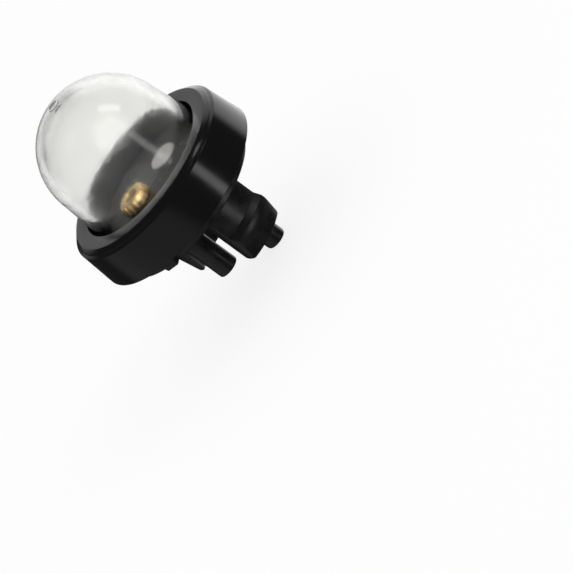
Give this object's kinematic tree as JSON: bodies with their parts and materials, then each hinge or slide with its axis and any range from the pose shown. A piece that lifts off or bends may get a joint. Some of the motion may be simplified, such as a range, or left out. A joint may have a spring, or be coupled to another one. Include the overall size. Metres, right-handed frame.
{
  "type": "primer bulb",
  "caption": "Snap-in primer bulb: clear squeezable dome clamped by a black collar on a base with hooked snap arms and a long and a short hose nipple.",
  "frame": {"origin": "middle of the back face of the base flange, the face that seats on the machine's panel", "axes": "+Z along the bulb, out through its dome; the nipples stand on X, the long inlet one on +X and the short outlet one on -X; the snap arms stand on +Y and -Y"},
  "size_m": [0.03, 0.03, 0.0394],
  "materials": {
    "clear_bulb": "glossy, slightly milky clear polyurethane",
    "collar_black": "polished black nylon",
    "base_black": "satin black nylon",
    "brass": "turned brass",
    "white_silicone": "matt white silicone",
    "black_rubber": "matt black rubber"
  },
  "bodies": {
    "root": {"bulb": "clear_bulb", "collar_ring": "collar_black", "base_body": "base_black", "inlet_valve": "white_silicone", "outlet_ferrule": "brass", "outlet_valve": "black_rubber"}
  },
  "joints": []
}
